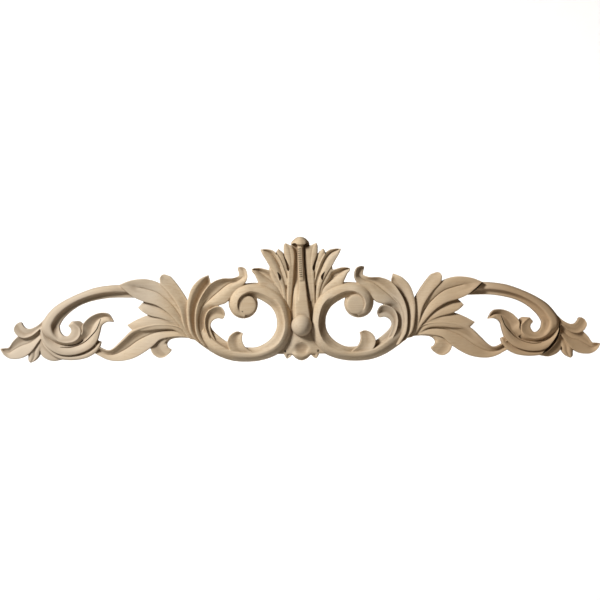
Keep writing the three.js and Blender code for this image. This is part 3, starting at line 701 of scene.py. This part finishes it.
def gougeForm(form):
    points = [(form["centre"][0], -form["surface"] + form["deep"], form["centre"][1])]
    for i in range(1, form["rings"] + 1):
        share = i / form["rings"]
        for j in range(form["spokes"]):
            turn = 2 * math.pi * j / form["spokes"]
            points.append((
                form["centre"][0] + form["reach"][0] * share * math.cos(turn),
                -form["surface"] + form["deep"] * (1 - share**2),
                form["centre"][1] + form["reach"][1] * share * math.sin(turn),
            ))
    for j in range(form["spokes"]):
        x, _, z = points[1 + (form["rings"] - 1) * form["spokes"] + j]
        points.append((x, -carvingFineness["cutterFront"], z))
    points.append((form["centre"][0], -carvingFineness["cutterFront"], form["centre"][1]))
    faces = []
    for j in range(form["spokes"]):
        after = (j + 1) % form["spokes"]
        faces.append((0, 1 + j, 1 + after))
        for i in range(form["rings"]):
            a = 1 + i * form["spokes"] + j
            b = 1 + i * form["spokes"] + after
            faces.append((a, a + form["spokes"], b + form["spokes"]))
            faces.append((a, b + form["spokes"], b))
        top = 1 + form["rings"] * form["spokes"]
        faces.append((top + form["spokes"], top + after, top + j))
    return outward(np.array(points), np.array(faces))


nickShells.append(gougeForm(gougeScoop))
shells = centreShells + pairedShells + [mirrored(shell) for shell in pairedShells]


def meshFrom(name, shellList):
    points = np.vstack([shell[0] for shell in shellList]) * mm
    faces = []
    start = 0
    for shellPoints, shellFaces in shellList:
        faces.append(shellFaces + start)
        start += len(shellPoints)
    faces = np.vstack(faces)
    mesh = bpy.data.meshes.new(name)
    mesh.from_pydata(points.tolist(), [], faces.tolist())
    mesh.update()
    return mesh


def putIn(name, mesh):
    piece = bpy.data.objects.new(name, mesh)
    bpy.context.scene.collection.objects.link(piece)
    return piece


# works the modifiers into the mesh, so that none is left on the piece
def settle(piece):
    bpy.context.view_layer.update()
    graph = bpy.context.evaluated_depsgraph_get()
    worked = bpy.data.meshes.new_from_object(piece.evaluated_get(graph))
    piece.modifiers.clear()
    piece.data = worked
    return len(worked.polygons)


def cutAway(piece, name, tool):
    cut = piece.modifiers.new(name, "BOOLEAN")
    cut.operation = "DIFFERENCE"
    cut.solver = "MANIFOLD"
    cut.object = tool
    faces = settle(piece)
    bpy.data.objects.remove(tool)
    return faces


onlay = putIn("carvedOnlay", meshFrom("carvedOnlay", shells))
print("forms drawn:", len(shells), "shells,", len(onlay.data.polygons), "faces")

melt = onlay.modifiers.new("melt", "REMESH")
melt.mode = "VOXEL"
melt.voxel_size = carvingFineness["grit"] * mm
melt.adaptivity = 0
print("forms melted into one:", settle(onlay), "faces")

sand = onlay.modifiers.new("sand", "SMOOTH")
sand.factor = carvingFineness["sandingForce"]
sand.iterations = carvingFineness["sanding"]
settle(onlay)

# the back is planed flat
planeBox = {"half": (0.4, 0.01, 0.2)}   # metres, behind the back
corners = [(x, y, z) for x in (-1, 1) for y in (0, 2) for z in (-1, 1)]
boxPoints = [tuple(a * b for a, b in zip(c, planeBox["half"])) for c in corners]
boxFaces = [(0, 1, 3, 2), (4, 6, 7, 5), (0, 4, 5, 1), (2, 3, 7, 6), (0, 2, 6, 4), (1, 5, 7, 3)]
planeMesh = bpy.data.meshes.new("planedBack")
planeMesh.from_pydata(boxPoints, [], boxFaces)
planer = putIn("planedBack", planeMesh)
print("back planed flat:", cutAway(onlay, "flatten", planer), "faces")

nickTool = putIn("nickTool", meshFrom("nickTool", nickShells))
print("piercings cut:", cutAway(onlay, "pierce", nickTool), "faces")

thin = onlay.modifiers.new("thin", "DECIMATE")
onlay.data.calc_loop_triangles()
thin.ratio = min(1.0, carvingFineness["triangles"] / len(onlay.data.loop_triangles))
settle(onlay)
onlay.data.calc_loop_triangles()
onlay.data.shade_smooth()
onlay.data.set_sharp_from_angle(angle=math.radians(carvingFineness["sharpEdge"]))

# how far a spot lies in a hollow is measured against the carving's own smoothed self
hollowing = {"passes": 16, "kept": 0.3}


def hollowDepth(mesh):
    count = len(mesh.vertices)
    spots = np.zeros(count * 3, np.float32)
    mesh.vertices.foreach_get("co", spots)
    spots = spots.reshape(-1, 3).astype(float)
    normals = np.zeros(count * 3, np.float32)
    mesh.vertices.foreach_get("normal", normals)
    normals = normals.reshape(-1, 3)
    ends = np.zeros(len(mesh.edges) * 2, np.int32)
    mesh.edges.foreach_get("vertices", ends)
    a, b = ends.reshape(-1, 2).T
    near = 1 / np.maximum(np.linalg.norm(spots[a] - spots[b], axis=1), 1e-5)
    total = np.bincount(a, near, count) + np.bincount(b, near, count)
    total = np.maximum(total, 1e-9)
    smooth = spots.copy()
    kept = hollowing["kept"]
    for _ in range(hollowing["passes"]):
        moved = np.zeros_like(smooth)
        for k in range(3):
            moved[:, k] = np.bincount(a, near * smooth[b, k], count)
            moved[:, k] += np.bincount(b, near * smooth[a, k], count)
        smooth = kept * smooth + (1 - kept) * moved / total[:, None]
    return np.einsum("ij,ij->i", smooth - spots, normals) / mm


# the hollow depth later darkens the wood's colour in the cuts as painted shade
hollows = hollowDepth(onlay.data)   # millimetres
mark = onlay.data.attributes.new("hollow", "FLOAT", "POINT")
mark.data.foreach_set("value", hollows.astype(np.float32))
print("hollows measured, deepest:", round(float(hollows.max()), 2), "mm")
print("carving thinned:", len(onlay.data.loop_triangles), "triangles")


def linear(hexColour):
    parts = [int(hexColour[i:i + 2], 16) / 255 for i in (1, 3, 5)]
    return tuple(p / 12.92 if p <= 0.04045 else ((p + 0.055) / 1.055) ** 2.4 for p in parts) + (1.0,)


def addNode(tree, kind, settings=None, values=None, links=None):
    node = tree.nodes.new(kind)
    for key, value in (settings or {}).items():
        setattr(node, key, value)
    for key, value in (values or {}).items():
        node.inputs[key].default_value = value
    for key, source in (links or {}).items():
        tree.links.new(source, node.inputs[key])
    return node


# limewood, carved and sanded, left bare: pale and even, faint long streaks, short fine pores, no gloss;
# its side walls and cuts are darkened with painted shade
limewood = {
    "streak": "#bfa686",
    "warm": "#c7b192",
    "pale": "#cdb99b",
    "streakAt": 0.3,
    "warmAt": 0.45,
    "paleAt": 0.62,
    "streakWidth": 1.4,      # mm across the grain
    "streakLength": 70,      # mm along it
    "poreWidth": 0.5,        # real pores are finer, drawn this coarse so that they show
    "poreLength": 6,
    "cloudSize": 60,         # mm across a patch of greyer sapwood
    "toolMark": 4,           # mm between faint gouge and sanding unevenness
    "poreRelief": 0.3,       # mm
    "poreStrength": 0.25,
    "toolRelief": 0.6,       # mm
    "toolStrength": 0.3,
    "roughness": (0.55, 0.75),
    "ior": 1.5,
    "specular": 0.25,
}
# each tint comes in where its source passes from the first value to the second, up to the share given
woodTints = {
    "pore": ("#8a6a48", 0.66, 0.78, 0.45),
    "grey": ("#bfb5a6", 0.5, 0.7, 0.5),             # patches where the sapwood runs greyer
    "leftEnd": ("#b9aa96", -0.13, -0.25, 0.85),     # metres: the board greys towards its left end
    "rightEnd": ("#bd9f7b", 0.08, 0.22, 0.85),      # and browns towards its right end
    "flankShade": ("#80644a", -0.4, 0.1, 0.8),           # painted shade: walls that face sideways are darkened by their facing
    "cutShade": ("#7d6144", 0.04, 0.55, 0.7),           # mm: painted shade, darkest where the surface lies deepest in a hollow, in the cuts
}
wood = bpy.data.materials.new("limewoodCarvedBare")
wood.use_nodes = True
tree = wood.node_tree
tree.nodes.clear()
place = addNode(tree, "ShaderNodeTexCoord")
inBoard = place.outputs["Object"]
acrossStreak = 1 / (limewood["streakWidth"] * mm)
alongStreak = 1 / (limewood["streakLength"] * mm)
acrossPore = 1 / (limewood["poreWidth"] * mm)
alongPore = 1 / (limewood["poreLength"] * mm)
boardGrain = addNode(tree, "ShaderNodeMapping", links={"Vector": inBoard},
                     values={"Scale": (alongStreak, acrossStreak, acrossStreak)})
streaks = addNode(tree, "ShaderNodeTexNoise", values={"Scale": 1.0, "Detail": 4.0, "Roughness": 0.6},
                  links={"Vector": boardGrain.outputs["Vector"]})
poreGrain = addNode(tree, "ShaderNodeMapping", links={"Vector": inBoard},
                    values={"Scale": (alongPore, acrossPore, acrossPore)})
pores = addNode(tree, "ShaderNodeTexNoise", values={"Scale": 1.0, "Detail": 2.0, "Roughness": 0.5},
                links={"Vector": poreGrain.outputs["Vector"]})
clouds = addNode(tree, "ShaderNodeTexNoise", links={"Vector": inBoard},
                 values={"Scale": 1 / (limewood["cloudSize"] * mm), "Detail": 2.0})
along = addNode(tree, "ShaderNodeSeparateXYZ", links={"Vector": inBoard})
turned = addNode(tree, "ShaderNodeNewGeometry")
facing = addNode(tree, "ShaderNodeSeparateXYZ", links={"Vector": turned.outputs["Normal"]})
hollowMark = addNode(tree, "ShaderNodeAttribute", {"attribute_name": "hollow"})
grainTones = addNode(tree, "ShaderNodeValToRGB", links={"Fac": streaks.outputs["Fac"]})
stops = grainTones.color_ramp.elements
stops[0].position = limewood["streakAt"]
stops[0].color = linear(limewood["streak"])
stops[1].position = limewood["paleAt"]
stops[1].color = linear(limewood["pale"])
stops.new(limewood["warmAt"]).color = linear(limewood["warm"])
# two of these tints paint shade into the wood's colour: on the side walls, and in the cuts by their hollow
# depth
tintSources = {
    "pore": pores.outputs["Fac"],
    "grey": clouds.outputs["Fac"],
    "leftEnd": along.outputs["X"],
    "rightEnd": along.outputs["X"],
    "flankShade": facing.outputs["Y"],
    "cutShade": hollowMark.outputs["Fac"],
}
woodColour = grainTones.outputs["Color"]
for tint, source in tintSources.items():
    tintColour, start, full, most = woodTints[tint]
    amount = addNode(tree, "ShaderNodeMapRange", links={"Value": source},
                     values={"From Min": start, "From Max": full, "To Max": most})
    tinted = addNode(tree, "ShaderNodeMix", {"data_type": "RGBA"}, {"B": linear(tintColour)},
                     {"Factor": amount.outputs["Result"], "A": woodColour})
    woodColour = tinted.outputs[2]   # the colour result
marks = addNode(tree, "ShaderNodeTexNoise", links={"Vector": inBoard},
                values={"Scale": 1 / (limewood["toolMark"] * mm), "Detail": 3.0})
grainBump = addNode(
    tree, "ShaderNodeBump",
    values={"Strength": limewood["poreStrength"], "Distance": limewood["poreRelief"] * mm},
    links={"Height": pores.outputs["Fac"]},
)
markBump = addNode(
    tree, "ShaderNodeBump",
    values={"Strength": limewood["toolStrength"], "Distance": limewood["toolRelief"] * mm},
    links={"Height": marks.outputs["Fac"], "Normal": grainBump.outputs["Normal"]},
)
smoothest, roughest = limewood["roughness"]
roughRange = addNode(tree, "ShaderNodeMapRange", values={"To Min": smoothest, "To Max": roughest},
                     links={"Value": streaks.outputs["Fac"]})
surface = addNode(
    tree, "ShaderNodeBsdfPrincipled",
    values={"IOR": limewood["ior"], "Specular IOR Level": limewood["specular"]},
    links={"Base Color": woodColour, "Roughness": roughRange.outputs["Result"],
           "Normal": markBump.outputs["Normal"]},
)
addNode(tree, "ShaderNodeOutputMaterial", links={"Surface": surface.outputs["BSDF"]})
onlay.data.materials.clear()
onlay.data.materials.append(wood)
print("wood laid on")

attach(onlay, "root")
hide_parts("carved_onlay")

# paper sweep: floor below, wall far behind
sweep = {
    "floor": -0.95, "front": -3.2, "wall": 3.2, "top": 4.0, "halfWidth": 4.5, "bend": 0.8, "steps": 24,
    "colour": "#f2f1ef", "roughness": 0.9,
}
profile = [(sweep["front"], sweep["floor"])]
for i in range(sweep["steps"] + 1):
    angle = i / sweep["steps"] * math.pi / 2
    profile.append((sweep["wall"] - sweep["bend"] + sweep["bend"] * math.sin(angle),
                    sweep["floor"] + sweep["bend"] * (1 - math.cos(angle))))
profile.append((sweep["wall"], sweep["top"]))
paperPoints = [(x * sweep["halfWidth"], y, z) for y, z in profile for x in (-1, 1)]
paperFaces = [(2 * i, 2 * i + 1, 2 * i + 3, 2 * i + 2) for i in range(len(profile) - 1)]
paperMesh = bpy.data.meshes.new("paperSweep")
paperMesh.from_pydata(paperPoints, [], paperFaces)
paperMesh.shade_smooth()
paperSweep = putIn("paperSweep", paperMesh)
# white paper, matt: an even pale ground without gloss
paper = bpy.data.materials.new("whitePaperMatt")
paper.use_nodes = True
paperShader = paper.node_tree.nodes["Principled BSDF"]
paperShader.inputs["Base Color"].default_value = linear(sweep["colour"])
paperShader.inputs["Roughness"].default_value = sweep["roughness"]
paperMesh.materials.append(paper)

# a soft key from the upper left, and behind the carving a wash that lights the paper wall alone
keyLamp = {"place": (-1.0, -0.9, 0.8), "target": (-0.05, 0, 0.03), "size": (0.35, 0.35), "power": 31.5}
wallLamp = {"place": (0, 0.9, 0.2), "target": (0, 3.0, 0.1), "size": (2.4, 1.4), "power": 66}


def softLight(name, lamp):
    light = bpy.data.lights.new(name, "AREA")
    light.shape = "RECTANGLE"
    light.size = lamp["size"][0]
    light.size_y = lamp["size"][1]
    light.energy = lamp["power"]
    holder = bpy.data.objects.new(name, light)
    holder.location = lamp["place"]
    beam = Vector(lamp["target"]) - Vector(lamp["place"])
    holder.rotation_euler = beam.to_track_quat("-Z", "Y").to_euler()
    holder.visible_camera = False
    bpy.context.scene.collection.objects.link(holder)


softLight("keyLight", keyLamp)
softLight("paperWash", wallLamp)
print("lamps hung")

# a weak warm fill from all round; the camera sees it as a pale backdrop past the paper's edges
air = {"fill": "#ffdfbe", "fillStrength": 0.07, "backdrop": "#dedbd6"}
world = bpy.data.worlds.new("studioAir")
world.use_nodes = True
bpy.context.scene.world = world
worldTree = world.node_tree
worldTree.nodes.clear()
fillAir = addNode(worldTree, "ShaderNodeBackground",
                  values={"Color": linear(air["fill"]), "Strength": air["fillStrength"]})
backdropAir = addNode(worldTree, "ShaderNodeBackground", values={"Color": linear(air["backdrop"])})
rays = addNode(worldTree, "ShaderNodeLightPath")
seenAir = addNode(worldTree, "ShaderNodeMixShader", links={
    0: rays.outputs["Is Camera Ray"], 1: fillAir.outputs[0], 2: backdropAir.outputs[0]})
addNode(worldTree, "ShaderNodeOutputWorld", links={"Surface": seenAir.outputs[0]})

# the camera looks straight at the carving from a little to the left
view = {
    "target": (-0.0012, -0.008, 0.025), "distance": 2.1, "yaw": -1.6, "roll": -0.5, "frame": 0.5985,
    "sensor": 36,
}
eyePlace = Vector((
    view["target"][0] + view["distance"] * math.sin(math.radians(view["yaw"])),
    view["target"][1] - view["distance"] * math.cos(math.radians(view["yaw"])),
    view["target"][2],
))
lens = bpy.data.cameras.new("photoCamera")
lens.sensor_width = view["sensor"]
lens.lens = view["sensor"] * view["distance"] / view["frame"]
camera = bpy.data.objects.new("photoCamera", lens)
aim = (Vector(view["target"]) - eyePlace).to_track_quat("-Z", "Y").to_matrix().to_4x4()
roll = Matrix.Rotation(math.radians(view["roll"]), 4, "Z")
camera.matrix_world = Matrix.Translation(eyePlace) @ aim @ roll
bpy.context.scene.collection.objects.link(camera)
bpy.context.scene.camera = camera
bpy.context.scene.view_settings.view_transform = "Standard"
print("camera set at", [round(v, 3) for v in eyePlace])

bpy.context.view_layer.update()
